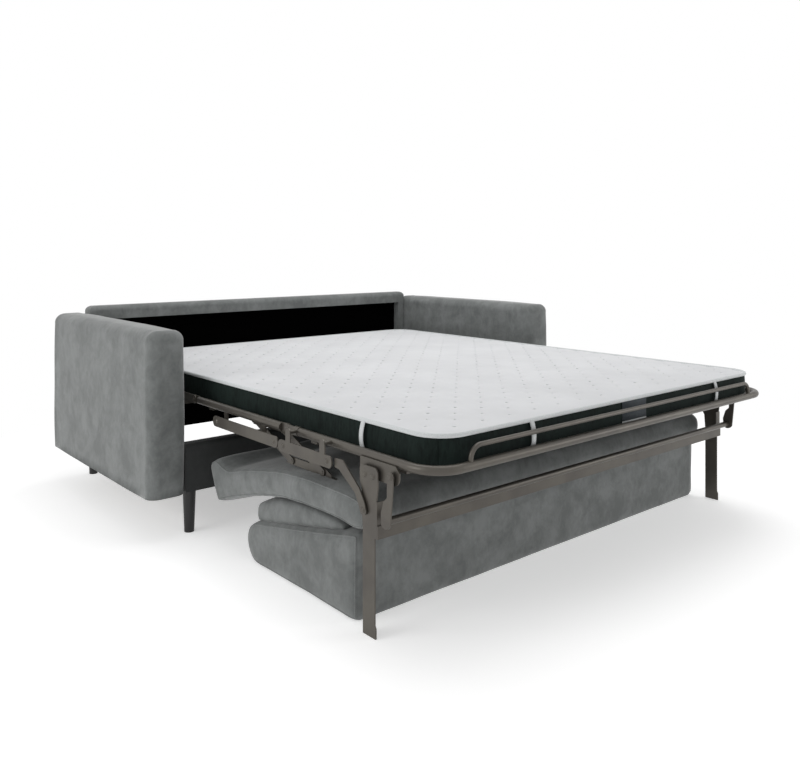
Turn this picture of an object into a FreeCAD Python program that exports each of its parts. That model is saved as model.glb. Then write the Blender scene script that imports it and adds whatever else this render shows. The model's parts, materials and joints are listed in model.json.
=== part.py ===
import FreeCAD, Part
import math
import os

# Three-seat sofa whose bed unfolds forward over its own cushions.
# X runs along the sofa, Y towards its back, Z up, all in millimetres.
# The model is drawn with Y = 0 at the front faces of the arms and the floor at Z = 0.
# When it is written out it slides along Y, so that the origin is under its middle.

V = FreeCAD.Vector

# Driving dimensions of the sofa body
seat_opening = 1792.0
arm_width = 141.0
arm_depth = 1018.6
arm_top = 710.0
arm_round = 44.0
body_bottom = 145.0
back_top = 734.0
back_depth = 63.0
back_rail_height = 60.0
back_post_width = 40.0
back_skin = 20.0
back_round = 24.0
lining_thickness = 4.0
front_rail_front = 22.0
front_rail_depth = 55.0
front_rail_top = 310.0
base_side_thickness = 26.0
base_side_bottom = 150.0
base_side_top = 262.0
foot_top_diameter = 45.0
foot_floor_diameter = 34.0
foot_inset = 26.0
seam_gap = 0.3

# Driving dimensions of the mattress
mattress_width = 1600.0
head_clearance = 152.6
mattress_foot_y = -1142.0
mattress_sink = 16.0
mattress_side = 93.0
mattress_crown = 15.0
mattress_corner = 90.0
fold_relief = 95.0
bend_relief = 22.0

# Driving dimensions of the folding bed frame
tube_radius = 12.5
tube_height = 452.0
tube_x = 832.0
head_section = 566.0
fold_link = 220.0
middle_section = 610.0
frame_margin = 11.0
foot_bend = 85.0
plate = 4.0

# Lanes along X, from the middle of the sofa outwards, each the middle of a steel plate
lane_seat_arm = 806.0
lane_leg = 857.0
lane_bar = 864.0
lane_foot_bar = 872.0
lane_swing = 855.0
lane_back_link = 640.0

# Pins and rivets
pin_radius = 5.0
pin_clearance = 0.05
rivet_head_radius = 8.5
rivet_crown_radius = 4.8
rivet_head_height = 3.5
washer_gap = 0.3

# Lowering arms of the head section
swing_length = 300.0
swing_start_angle = 50.0
swing_rear_y = 740.0
swing_front_y = 400.0
swing_pin_drop = 25.0
swing_width = 30.0

# Bed legs, their cross bar and the short links with the round tube
leg_hinge_y = -947.0
leg_hinge_drop = 35.0
leg_top_width = 74.0
leg_low_width = 48.0
leg_flare_width = 56.0
cross_bar_low = 254.0
cross_bar_high = 287.5
short_link_y = -1032.0
short_link_drop = 31.0
short_tube_radius = 10.0
short_tube_y = -1010.0
short_tube_z = 305.0

bracket_foot_y = -1055.0
bracket_sofa_y = -898.0
leg_flange = 26.0
leg_sheet = 3.0
cross_bar_reach = 10.0
leg_flange_rise = 60.0

# Flat side bars, mesh and cross rails
side_bar_low_drop = 56.0
side_bar_high_drop = 22.0
foot_post_radius = 5.0
foot_post_rise = 4.0
middle_bar_rear = -118.0
foot_bar_front = -806.0
mesh_thickness = 2.5
mesh_wire = 2.5
mesh_margin = 6.0
rail_width = 30.0
rail_height = 14.0
rail_upturn = 3.0
hinge_to_rail = 90.0
head_tube_to_rail = 120.0
lug_to_rail = 40.0
bar_end_to_post = 30.0
hinge_to_post = 140.0
eye_radius = 15.0
eye_reach = 34.0
lane_link = 836.6

# Arms that carry the seat under the middle section
seat_arm_length = 235.0
seat_arm_angle = 67.5
seat_arm_rear_y = -450.0
seat_arm_front_y = -290.0
seat_arm_pin_drop = 15.0
seat_arm_width = 22.0

# Cushions, lying upside down under the open bed
pack_half = 853.0
seat_foot_y = -910.0
back_foot_y = -880.0
back_sofa_y = -296.0
back_thick = 237.0
back_thin = 117.5
link_seat_y = -761.5
link_seat_z = 290.0
link_back_y = -865.0
link_back_z = 225.0
link_sweep = 102.0
back_turn = 198.0
back_link_half = 9.0
slot_width = 7.0
seat_low = 240.0
seat_height = 94.0
seat_crown = 8.0
seat_end_inset = 14.0
back_crown = 0.0
back_end_inset = 6.0
back_edge = 71.0
end_run = 24.0
crown_steps = 6

# Stop bar at the foot
stop_bar_radius = 6.5
stop_bar_top = 500.0
stop_bar_half = 712.0
stop_bar_bend = 34.0

# Heights on the bed frame, counted from the middle of its tubes
mattress_bottom = tube_height - mattress_sink
swing_pin_z = tube_height - swing_pin_drop
leg_hinge_z = tube_height - leg_hinge_drop
short_link_z = tube_height - short_link_drop
side_bar_low = tube_height - side_bar_low_drop
side_bar_high = tube_height - side_bar_high_drop
foot_post_z = tube_height + foot_post_rise
seat_arm_pin_z = tube_height - seat_arm_pin_drop

# Places that follow from the sizes above
mattress_head_y = arm_depth - head_clearance
arm_inner = seat_opening / 2
arm_outer = arm_inner + arm_width
head_tube_y = mattress_head_y + tube_radius + frame_margin
hinge_head = mattress_head_y - head_section
hinge_middle = hinge_head - fold_link
hinge_foot = hinge_middle - middle_section
foot_tube_y = mattress_foot_y - tube_radius - frame_margin
mattress_top = mattress_bottom + mattress_side
back_front_y = arm_depth - back_depth
model_front_y = foot_tube_y - tube_radius
shift_y = -(arm_depth + model_front_y) / 2


def save(name, shape):
    moved = shape.copy()
    moved.translate(V(0, shift_y, 0))
    moved.exportStep("parts/" + name + ".step")
    print(name, len(moved.Solids), moved.isValid())


def box(x0, x1, y0, y1, z0, z1):
    return Part.makeBox(x1 - x0, y1 - y0, z1 - z0, V(x0, y0, z0))


def cylinder_x(radius, x0, x1, y, z):
    return Part.makeCylinder(radius, x1 - x0, V(x0, y, z), V(1, 0, 0))


def mirror(shape):
    return shape.mirror(V(0, 0, 0), V(1, 0, 0))


def pair(shape):
    return Part.makeCompound([shape, mirror(shape)])


def wire_yz(points, x):
    # A point with three numbers is the middle of an arc between its neighbours.
    edges = []
    start = V(x, points[0][0], points[0][1])
    middle = None
    for point in points[1:] + points[:1]:
        if len(point) == 3:
            middle = V(x, point[0], point[1])
            continue
        end = V(x, point[0], point[1])
        if middle is None:
            edges.append(Part.makeLine(start, end))
        else:
            edges.append(Part.Arc(start, middle, end).toShape())
            middle = None
        start = end
    return Part.Wire(edges)


def plate_yz(points, x, thickness=plate):
    face = Part.Face(wire_yz(points, x - thickness / 2))
    return face.extrude(V(thickness, 0, 0))


def bar_plate(y0, z0, y1, z1, width, x, thickness=plate):
    # A flat bar with round ends about two pins.
    length = math.hypot(y1 - y0, z1 - z0)
    uy, uz = (y1 - y0) / length, (z1 - z0) / length
    h = width / 2
    ny, nz = -uz * h, uy * h
    points = [
        (y0 + ny, z0 + nz),
        (y0 - uy * h, z0 - uz * h, "arc"),
        (y0 - ny, z0 - nz),
        (y1 - ny, z1 - nz),
        (y1 + uy * h, z1 + uz * h, "arc"),
        (y1 + ny, z1 + nz),
    ]
    return plate_yz(points, x, thickness)


def pin_hole(y, z, x, reach):
    return cylinder_x(pin_radius + pin_clearance, x - reach, x + reach, y, z)


def rivet(y, z, x_in, x_out):
    # A pin from x_in to x_out, with a tapered head at its outer end.
    shank = cylinder_x(pin_radius, x_in, x_out + 1, y, z)
    head = Part.makeCone(
        rivet_head_radius, rivet_crown_radius, rivet_head_height, V(x_out, y, z), V(1, 0, 0),
    )
    return shank.fuse(head)


def tube_run(points, radius, bend):
    # Round bar through the points, with an arc of the same radius at each inner point.
    edges = []
    start = points[0]
    for i in range(1, len(points) - 1):
        corner = points[i]
        before = (points[i - 1] - corner).normalize()
        after = (points[i + 1] - corner).normalize()
        half = before.getAngle(after) / 2
        reach = bend / math.tan(half)
        first = corner + before * reach
        last = corner + after * reach
        inward = (before + after).normalize()
        centre = corner + inward * (bend / math.sin(half))
        edges.append(Part.makeLine(start, first))
        edges.append(Part.Arc(first, centre - inward * bend, last).toShape())
        start = last
    edges.append(Part.makeLine(start, points[-1]))
    path = Part.Wire(edges)
    direction = (points[1] - points[0]).normalize()
    section = Part.Wire([Part.makeCircle(radius, points[0], direction)])
    return path.makePipeShell([section], True, False)


# Sofa body


def arm():
    block = box(arm_inner, arm_outer, 0, arm_depth, body_bottom, arm_top)
    edges = [
        e for e in block.Edges
        if e.BoundBox.ZMax > arm_top - 1 or e.BoundBox.ZLength > arm_top - body_bottom - 1
    ]
    return block.makeFillet(arm_round, edges)


def back_frame():
    half = arm_inner - seam_gap
    block = box(-half, half, back_front_y, arm_depth, body_bottom, back_top)
    edges = [e for e in block.Edges if e.BoundBox.ZMin > back_top - 1]
    block = block.makeFillet(back_round, edges)
    recess = box(
        -half + back_post_width, half - back_post_width,
        back_front_y - 1, arm_depth - back_skin,
        body_bottom - 1, back_top - back_rail_height,
    )
    return block.cut(recess)


def back_lining():
    half = arm_inner - seam_gap - back_post_width - seam_gap
    rear = arm_depth - back_skin - seam_gap
    return box(
        -half, half, rear - lining_thickness, rear,
        body_bottom, back_top - back_rail_height - seam_gap,
    )


def front_rail():
    half = arm_inner - seam_gap
    rail = box(
        -half, half, front_rail_front, front_rail_front + front_rail_depth,
        body_bottom, front_rail_top,
    )
    edges = [e for e in rail.Edges if e.BoundBox.XLength > half and e.BoundBox.ZMin > front_rail_top - 1]
    return rail.makeFillet(14.0, edges)


def base_side():
    outer = arm_inner - seam_gap
    inner = outer - base_side_thickness
    rail = box(
        inner, outer, front_rail_front + front_rail_depth + seam_gap, back_front_y - seam_gap,
        base_side_bottom, base_side_top,
    )
    for y in (swing_pivot(swing_rear_y)[0], swing_pivot(swing_front_y)[0]):
        z = swing_pivot(swing_rear_y)[1]
        rail = rail.cut(cylinder_x(pin_radius, inner - 1, inner + 18, y, z))
    return rail


def sofa_feet():
    feet = []
    x = arm_inner - foot_inset
    front = front_rail_front + front_rail_depth / 2
    rear = arm_depth - back_depth / 2
    for sx in (-x, x):
        for y in (front, rear):
            feet.append(Part.makeCone(
                foot_floor_diameter / 2, foot_top_diameter / 2, body_bottom, V(sx, y, 0),
            ))
    return Part.makeCompound(feet)


# Lowering arms


def swing_pivot(pin_y):
    a = math.radians(swing_start_angle)
    return pin_y + swing_length * math.cos(a), swing_pin_z - swing_length * math.sin(a)


def swing_frame(pin_y):
    py, pz = swing_pivot(pin_y)
    inner_face = arm_inner - seam_gap - base_side_thickness
    blade = bar_plate(pin_y, swing_pin_z, py, pz, swing_width, lane_swing)
    blade = blade.cut(pin_hole(pin_y, swing_pin_z, lane_swing, plate))
    stub = cylinder_x(pin_radius - pin_clearance, lane_swing, inner_face + 16, py, pz)
    collar = cylinder_x(swing_width / 2 - 3, lane_swing, inner_face - washer_gap, py, pz)
    return pair(blade.fuse(stub).fuse(collar))


# Bed frame


def side_tube(y0, y1):
    return Part.makeCylinder(tube_radius, y0 - y1, V(tube_x, y1, tube_height), V(0, 1, 0))


def head_frame():
    # Side tubes run back to the head tube through two round bends.
    front = hinge_head + eye_reach
    rear = head_tube_y
    frame = tube_run([
        V(-tube_x, front, tube_height), V(-tube_x, rear, tube_height),
        V(tube_x, rear, tube_height), V(tube_x, front, tube_height),
    ], tube_radius, foot_bend)
    side = hinge_lug(hinge_head, 1, tube_x)
    inner = tube_x - plate / 2
    for y in (swing_rear_y, swing_front_y):
        tab = box(inner, inner + plate, y - 12, y + 12, swing_pin_z - 12, tube_height)
        boss = cylinder_x(11, inner, lane_swing - plate / 2 - washer_gap, y, swing_pin_z)
        shank = cylinder_x(pin_radius, inner, lane_swing + plate / 2 + 1, y, swing_pin_z)
        side = side.fuse(tab).fuse(boss).fuse(shank)
    frame = frame.fuse(side).fuse(mirror(side))
    for y in (hinge_head + hinge_to_rail, head_tube_y - head_tube_to_rail):
        frame = frame.fuse(cross_rail(y))
    return frame


def mesh_panel(y0, y1, columns=12, rows=5):
    # Welded mesh lying on the cross rails, cut as one holed face.
    half = mattress_width / 2 - mesh_margin
    top = mattress_bottom - seam_gap
    panel = box(-half, half, y0, y1, top - mesh_thickness, top)
    step_x = 2 * half / columns
    step_y = (y1 - y0) / rows
    holes = []
    for i in range(columns):
        for j in range(rows):
            x = -half + i * step_x
            y = y0 + j * step_y
            holes.append(box(
                x + mesh_wire, x + step_x - mesh_wire, y + mesh_wire, y + step_y - mesh_wire,
                top - mesh_thickness - 1, top + 1,
            ))
    return panel.cut(Part.makeCompound(holes))


def cross_rail(y):
    # Flat rail under the mesh, turned up beside the mattress and out over the seat arms to the tubes.
    top = mattress_bottom - seam_gap - mesh_thickness - seam_gap
    low = top - rail_height
    y0, y1 = y - rail_width / 2, y + rail_width / 2
    inner = mattress_width / 2 + seam_gap
    outer = inner + rail_upturn
    over = seat_arm_pin_z + seat_arm_width / 2 + 2
    rail = box(-outer, outer, y0, y1, low, top)
    upturn = box(inner, outer, y0, y1, low, over + plate)
    tab = box(inner, tube_x, y0, y1, over, over + plate)
    side = upturn.fuse(tab)
    return rail.fuse(side).fuse(mirror(side))


def hinge_lug(y, towards, x, reach=60.0):
    # A flattened tube end with a round eye; towards is +1 or -1 along Y.
    r = eye_radius
    lug = plate_yz([
        (y, tube_height + r),
        (y - towards * r, tube_height, "arc"),
        (y, tube_height - r),
        (y + towards * reach, tube_height - tube_radius + 1),
        (y + towards * reach, tube_height + tube_radius - 1),
    ], x)
    return lug.cut(pin_hole(y, tube_height, x, plate))


def middle_frame():
    y0, y1 = hinge_foot + eye_reach, hinge_middle - eye_reach
    frame = side_tube(y1, y0)
    frame = frame.fuse(hinge_lug(hinge_middle, -1, tube_x))
    frame = frame.fuse(hinge_lug(hinge_foot, 1, tube_x))
    frame = frame.fuse(bar_post(middle_bar_rear - bar_end_to_post)).fuse(bar_post(hinge_foot + hinge_to_post))
    frame = frame.fuse(seat_arm_hanger())
    frame = frame.fuse(mirror(frame))
    for y in (y0 + lug_to_rail, seat_arm_front_y, y1 - bar_end_to_post):
        frame = frame.fuse(cross_rail(y))
    return frame


def bar_post(y):
    # A tab down from the side tube and a round post out to the flat side bar.
    inner = tube_x - plate / 2
    z = (side_bar_low + side_bar_high) / 2
    tab = box(inner, inner + plate, y - 12, y + 12, z - 10, tube_height)
    return tab.fuse(cylinder_x(7.0, inner, lane_bar - plate / 2, y, z))


def seat_arm_hanger():
    # Plate below the side tube that holds both pins of the seat arms.
    x = lane_seat_arm + plate + seam_gap
    r = seat_arm_width / 2
    low = seat_arm_pin_z - r
    hanger = plate_yz([
        (seat_arm_rear_y - r - 8, low + r), (seat_arm_rear_y - 6, low), (seat_arm_front_y + 6, low),
        (seat_arm_front_y + r + 8, low + r), (seat_arm_front_y + r + 8, tube_height),
        (seat_arm_rear_y - r - 8, tube_height),
    ], x)
    for y in (seat_arm_rear_y, seat_arm_front_y):
        hanger = hanger.fuse(box(x, tube_x - tube_radius + 2, y - r, y + r, tube_height - plate, tube_height))
        stub = cylinder_x(pin_radius, lane_seat_arm - plate / 2 - 2, x, y, seat_arm_pin_z)
        hanger = hanger.fuse(stub)
    return hanger


def fold_link_bar():
    blade = bar_plate(hinge_head, tube_height, hinge_middle, tube_height, 2 * eye_radius, lane_link)
    for y in (hinge_head, hinge_middle):
        blade = blade.fuse(rivet(y, tube_height, tube_x - plate / 2 - 1.5, lane_link + plate / 2))
    return blade


def fold_links():
    # Both links, tied by a cross rail that carries the mattress over the fold.
    y = (hinge_head + hinge_middle) / 2
    top = mattress_bottom - 3 * seam_gap - mesh_thickness
    half = lane_link - plate / 2
    rail = box(-half, half, y - rail_width / 2, y + rail_width / 2, top - rail_height, top)
    upturn = box(half - plate, half, y - rail_width / 2, y + rail_width / 2, top - rail_height, tube_height)
    side = fold_link_bar().fuse(upturn)
    return side.fuse(mirror(side)).fuse(rail)


def foot_frame():
    # One bent tube runs down the left side, round the foot and back up the right side.
    rear = hinge_foot - eye_reach
    frame = tube_run([
        V(-tube_x, rear, tube_height), V(-tube_x, foot_tube_y, tube_height),
        V(tube_x, foot_tube_y, tube_height), V(tube_x, rear, tube_height),
    ], tube_radius, foot_bend)
    side = hinge_lug(hinge_foot, -1, lane_link)
    sleeve = Part.makeCylinder(
        tube_radius + 1.5, 26, V(tube_x, rear - 28, tube_height), V(0, 1, 0),
    )
    side = side.fuse(sleeve)
    for y in (foot_bar_front + 45, hinge_foot - 60):
        side = side.fuse(cylinder_x(foot_post_radius, tube_x, lane_foot_bar - plate / 2, y, foot_post_z))
    side = side.fuse(rivet(hinge_foot, tube_height, tube_x - plate / 2 - 1.5, lane_link + plate / 2))
    frame = frame.fuse(side).fuse(mirror(side))
    for y in (hinge_foot - 90, foot_tube_y + 150):
        frame = frame.fuse(cross_rail(y))
    return frame


def leg_bracket():
    # Flange plate on the outside of the foot section's tube, with the pins of leg and short link.
    x = tube_x + tube_radius + plate / 2
    low = leg_hinge_z - 20
    body = plate_yz([
        (bracket_foot_y + 14, tube_height - 4), (bracket_foot_y, tube_height - 18),
        (bracket_foot_y, low + 22), (bracket_foot_y + 6, low + 8, "arc"), (bracket_foot_y + 22, low + 2),
        (bracket_sofa_y - 24, low + 2), (bracket_sofa_y, low + 22), (bracket_sofa_y, tube_height - 4),
    ], x)
    inner = x - plate / 2
    leg_pin = cylinder_x(pin_radius, inner, lane_leg + plate / 2, leg_hinge_y, leg_hinge_z)
    short_pin = rivet(short_link_y, short_link_z, inner, lane_leg + plate / 2 + seam_gap)
    return body.fuse(leg_pin).fuse(short_pin)


def side_bar(y0, y1, x):
    # Flat bar beside the tube, with rounded ends and a rivet near each.
    z0, z1 = side_bar_low, side_bar_high
    m = (z0 + z1) / 2
    bar = plate_yz([
        (y0 + 12, z0), (y1 - 12, z0), (y1, m, "arc"), (y1 - 12, z1), (y0 + 12, z1), (y0, m, "arc"),
    ], x)
    for y in (y0 + 24, y1 - 24):
        bar = bar.fuse(rivet(y, m, x, x + plate / 2))
    return bar


def foot_side_bar():
    # The foot section's bar hangs by two tabs, which pass above the folded leg.
    bar = side_bar(foot_bar_front, hinge_foot - 8, lane_foot_bar)
    for y in (foot_bar_front + 45, hinge_foot - 60):
        bar = bar.fuse(plate_yz([
            (y - 12, side_bar_high - 2), (y + 12, side_bar_high - 2), (y + 12, foot_post_z),
            (y, foot_post_z + 12, "arc"), (y - 12, foot_post_z),
        ], lane_foot_bar))
    return bar


def stop_bar():
    base = tube_height + tube_radius - 2
    y = foot_tube_y
    bar = tube_run([
        V(-stop_bar_half, y, base), V(-stop_bar_half, y, stop_bar_top),
        V(stop_bar_half, y, stop_bar_top), V(stop_bar_half, y, base),
    ], stop_bar_radius, stop_bar_bend)
    return bar


def leg_outline():
    top = leg_hinge_z + 15
    yc = leg_hinge_y
    w, n, f = leg_top_width / 2, leg_low_width / 2, leg_flare_width / 2
    return [
        (yc - w + 14, top), (yc - w + 3, top - 6, "arc"), (yc - w, top - 20),
        (yc - w + 1, top - 48), (yc - n - 5, top - 100), (yc - n, top - 150),
        (yc - n, 34), (yc - f, 26), (yc - f, 0), (yc + f - 4, 0), (yc + f - 4, 24),
        (yc + n, 34), (yc + n, top - 160), (yc + n + 4, top - 110), (yc + n + 5, top - 60),
        (yc + w - 1, top - 44), (yc + w, top - 16), (yc + w - 3, top - 5, "arc"), (yc + w - 13, top),
    ]


def bed_leg():
    leg = plate_yz(leg_outline(), lane_leg)
    leg = leg.cut(pin_hole(leg_hinge_y, leg_hinge_z, lane_leg, plate))
    outer = lane_leg + plate / 2
    for y in (leg_hinge_y - 17, leg_hinge_y + 17):
        leg = leg.fuse(rivet(y, leg_hinge_z - 9, outer - 1, outer))
    # A tab in front holds the cross bar, and an inner flange stiffens it.
    edge = leg_hinge_y - leg_low_width / 2
    front = edge - cross_bar_reach + seam_gap
    high = cross_bar_high + leg_flange_rise
    tab = plate_yz([
        (edge + 2, cross_bar_low), (front, cross_bar_low), (front, high), (edge + 2, high),
    ], lane_leg)
    flange = box(lane_leg - leg_flange, lane_leg, front, front + leg_sheet, cross_bar_low + 8, high)
    return leg.fuse(tab).fuse(flange)


def leg_cross_bar():
    y = leg_hinge_y - leg_low_width / 2 - cross_bar_reach
    half = lane_leg + plate / 2
    return box(-half, half, y - leg_sheet, y, cross_bar_low, cross_bar_high)


def leg_brace():
    # Bent strut, riveted low on the leg, that reaches the end of the flat side bar.
    x = lane_bar
    low_y, low_z = leg_hinge_y + 15, 318.0
    high_y, high_z = foot_bar_front - 17, 414.0
    strut = plate_yz([
        (low_y - 13, low_z), (low_y, low_z - 13, "arc"), (low_y + 13, low_z),
        (low_y + 34, low_z + 36), (high_y - 6, high_z - 14), (high_y + 13, high_z - 12),
        (high_y + 15, high_z, "arc"), (high_y + 13, high_z + 12), (high_y - 20, high_z + 14),
        (low_y + 16, low_z + 52), (low_y - 6, low_z + 20),
    ], x)
    strut = strut.fuse(rivet(low_y, low_z, lane_leg + plate / 2, x + plate / 2))
    return strut


def short_link():
    top_y, top_z = short_link_y, short_link_z
    link = plate_yz([
        (top_y - 12, top_z + 4), (top_y, top_z + 13, "arc"), (top_y + 12, top_z + 2),
        (top_y + 12, top_z - 52), (top_y + 26, top_z - 66), (top_y + 36, top_z - 96),
        (top_y + 34, top_z - 126), (top_y + 14, top_z - 132, "arc"), (top_y, top_z - 120),
        (top_y - 6, top_z - 60),
    ], lane_leg)
    return link.cut(pin_hole(top_y, top_z, lane_leg, plate))


def round_cross_tube():
    half = lane_leg - plate / 2
    return cylinder_x(short_tube_radius, -half, half, short_tube_y, short_tube_z)


# Arms that carry the seat


def seat_arm(pin_y):
    a = math.radians(seat_arm_angle)
    end_y = pin_y - seat_arm_length * math.sin(a)
    end_z = seat_arm_pin_z - seat_arm_length * math.cos(a)
    arm_bar = bar_plate(pin_y, seat_arm_pin_z, end_y, end_z, seat_arm_width, lane_seat_arm)
    arm_bar = arm_bar.cut(pin_hole(pin_y, seat_arm_pin_z, lane_seat_arm, plate))
    return arm_bar.cut(pin_hole(end_y, end_z, lane_seat_arm, plate))


def seat_rail():
    # Angle rail on the seat's underside, which faces up here, with a pin for each arm.
    a = math.radians(seat_arm_angle)
    dy, dz = seat_arm_length * math.sin(a), seat_arm_length * math.cos(a)
    z = seat_arm_pin_z - dz
    x = lane_seat_arm - plate - seam_gap
    y0, y1 = seat_arm_rear_y - dy, seat_arm_front_y - dy
    r = seat_arm_width / 2
    low = seat_low + seat_height + 4 * seam_gap
    web = plate_yz([
        (y0 - 40, low), (y1 + 30, low), (y1 + 26, z), (y1 + r, z + r), (y0 - r, z + r), (y0 - 36, z),
    ], x)
    flange = box(x - 34, x + plate / 2, y0 - 60, y1 + 34, low, low + 3)
    rail = web.fuse(flange)
    for y in (y0, y1):
        rail = rail.fuse(cylinder_x(pin_radius, x, lane_seat_arm + plate / 2 + 1, y, z))
    return rail


# Cushions


def seat_section(x, inset, rise):
    # Side outline of the seat pad upside down: arched top, valley and front lip, thin front edge.
    s, u = inset, rise
    low = seat_low
    return wire_yz([
        (seat_foot_y + s, low + 42), (seat_foot_y + 8 + s, low + 72 - s, "arc"), (-872, low + 90 - s + u),
        (-700, low + seat_height - s + u, "arc"), (-500, low + 84 - s + u),
        (-340, low + 54 - s + u * 0.8, "arc"), (-180, low + 14 - s + u * 0.4),
        (-140, low + 20 - s, "arc"), (-104, low + 32 - s),
        (-68, low + 28 - s, "arc"), (-44 - s, low + 2),
        (-104 - s, low - 108 + s),
        (-310, low - 43 + s, "arc"), (-520, low + 1.5 + s),
        (-700, low + 9 + s, "arc"), (-872, low + 4 + s),
        (seat_foot_y + 8 + s, low + 14 + s, "arc"),
    ], x)


def crowned(section, end_inset, crown):
    # Loft from side to side: drawn-in ends, then straight sides with a crown between them.
    places = [(-pack_half, end_inset, 0.0), (-pack_half + end_run * 0.4, end_inset * 0.35, 0.0)]
    for i in range(crown_steps + 1):
        share = 2 * i / crown_steps - 1
        places.append((share * (pack_half - end_run), 0.0, crown * math.cos(share * math.pi / 2)))
    places.append((pack_half - end_run * 0.4, end_inset * 0.35, 0.0))
    places.append((pack_half, end_inset, 0.0))
    return Part.makeLoft([section(x, inset, rise) for x, inset, rise in places], True, True)


def link_fan(y, z, length, start, sweep, steps, grow, x, thickness):
    # The space that a turning link needs: the link at several angles about its pin.
    cuts = []
    for i in range(steps + 1):
        a = math.radians(start + sweep * i / steps)
        cuts.append(bar_plate(
            y, z, y + length * math.cos(a), z + length * math.sin(a),
            2 * back_link_half + 2 * grow, x, thickness,
        ))
    return cuts


def back_link_geometry():
    dy, dz = link_back_y - link_seat_y, link_back_z - link_seat_z
    return math.hypot(dy, dz), math.degrees(math.atan2(dz, dy))


def seat_cushion():
    pad = crowned(seat_section, seat_end_inset, seat_crown)
    length, start = back_link_geometry()
    for sx in (-1, 1):
        fan = link_fan(link_seat_y, link_seat_z, length, start, link_sweep, 6, 2.0, sx * lane_back_link, slot_width)
        for cut in fan:
            pad = pad.cut(cut)
        pad = pad.cut(cylinder_x(
            pin_radius + pin_clearance, sx * lane_back_link - 16, sx * lane_back_link + 16,
            link_seat_y, link_seat_z,
        ))
    return pad


def back_section(x, inset, rise):
    s = inset
    foot, sofa = back_foot_y + s, back_sofa_y - s
    slope = (back_thick - back_thin) / (back_sofa_y - back_foot_y)
    top = back_thick - s
    return wire_yz([
        (foot, s + 4), (foot, top - 4), (foot + 4, top),
        (-590, top - slope * 290 + rise, "arc"), (sofa - 40, back_thin + 10 - s),
        (sofa - 10, back_thin - 12 - s, "arc"), (sofa, back_edge + s),
        (sofa - 0.2929 * back_edge, 0.2929 * back_edge + s, "arc"), (sofa - back_edge, s),
        (foot + 4, s),
    ], x)


def back_cushion():
    body = crowned(back_section, back_end_inset, back_crown)
    length, start = back_link_geometry()
    for sx in (-1, 1):
        fan = link_fan(
            link_back_y, link_back_z, length, start + 180, back_turn, 8, 2.0, sx * lane_back_link, slot_width,
        )
        for cut in fan:
            body = body.cut(cut)
        body = body.cut(cylinder_x(
            pin_radius + pin_clearance, sx * lane_back_link - 16, sx * lane_back_link + 16,
            link_back_y, link_back_z,
        ))
    return body


def back_link():
    link = bar_plate(
        link_seat_y, link_seat_z, link_back_y, link_back_z, 2 * back_link_half, lane_back_link,
    )
    for y, z in ((link_seat_y, link_seat_z), (link_back_y, link_back_z)):
        link = link.fuse(cylinder_x(pin_radius, lane_back_link - 15, lane_back_link + 15, y, z))
    return pair(link)


# Mattress


def mattress_piece(y0, y1, round_foot, round_head):
    half = mattress_width / 2
    piece = box(-half, half, y0, y1, mattress_bottom, mattress_top + mattress_crown + 5)
    corners = []
    for e in piece.Edges:
        b = e.BoundBox
        if b.ZLength < mattress_side:
            continue
        if (round_foot and b.YMax < y0 + 1) or (round_head and b.YMin > y1 - 1):
            corners.append(e)
    if corners:
        piece = piece.makeFillet(mattress_corner, corners)
    # The top is a shallow round trough upside down, cut by a wide cylinder along Y.
    radius = (half * half + mattress_crown * mattress_crown) / (2 * mattress_crown)
    middle = V(0, y0 - 5, mattress_top + mattress_crown - radius)
    roll = Part.makeCylinder(radius, y1 - y0 + 10, middle, V(0, 1, 0))
    return piece.common(roll)


os.makedirs("parts", exist_ok=True)

save("arm_left", mirror(arm()))
save("arm_right", arm())
save("back_frame", back_frame())
save("back_lining", back_lining())
save("front_rail", front_rail())
save("base_side_left", mirror(base_side()))
save("base_side_right", base_side())
save("sofa_feet", sofa_feet())

save("front_swing_arms", swing_frame(swing_front_y))
save("rear_swing_arms", swing_frame(swing_rear_y))

save("head_frame", head_frame())
save("head_mesh", mesh_panel(hinge_head + 45, head_tube_y - 35))
save("mattress_head", mattress_piece(hinge_head + fold_relief, mattress_head_y, False, True))
save("fold_links", fold_links())
save("mattress_fold", mattress_piece(
    hinge_middle - fold_relief + seam_gap, hinge_head + fold_relief - seam_gap, False, False,
))
save("middle_frame", middle_frame())
save("middle_mesh", mesh_panel(hinge_foot + 45, hinge_middle - 45))
save("mattress_middle", mattress_piece(hinge_foot + bend_relief, hinge_middle - fold_relief, False, False))
save("middle_bar_left", mirror(side_bar(hinge_foot + 8, middle_bar_rear, lane_bar)))
save("middle_bar_right", side_bar(hinge_foot + 8, middle_bar_rear, lane_bar))

save("foot_frame", foot_frame())
save("foot_mesh", mesh_panel(foot_tube_y + 40, hinge_foot - 45))
save("mattress_foot", mattress_piece(mattress_foot_y, hinge_foot - bend_relief, True, False))
save("mattress_bend", mattress_piece(
    hinge_foot - bend_relief + seam_gap, hinge_foot + bend_relief - seam_gap, False, False,
))
save("foot_bar_left", mirror(foot_side_bar()))
save("foot_bar_right", foot_side_bar())
save("leg_bracket_left", mirror(leg_bracket()))
save("leg_bracket_right", leg_bracket())
save("stop_bar", stop_bar())

save("bed_leg_left", mirror(bed_leg()))
save("bed_leg_right", bed_leg())
save("leg_cross_bar", leg_cross_bar())
save("leg_brace_left", mirror(leg_brace()))
save("leg_brace_right", leg_brace())
save("short_link_left", mirror(short_link()))
save("short_link_right", short_link())
save("round_cross_tube", round_cross_tube())

save("rear_seat_arms", pair(seat_arm(seat_arm_rear_y)))
save("front_seat_arms", pair(seat_arm(seat_arm_front_y)))
save("seat_rail_left", mirror(seat_rail()))
save("seat_rail_right", seat_rail())
save("seat_cushion", seat_cushion())
save("back_links", back_link())
save("back_cushion", back_cushion())
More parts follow.
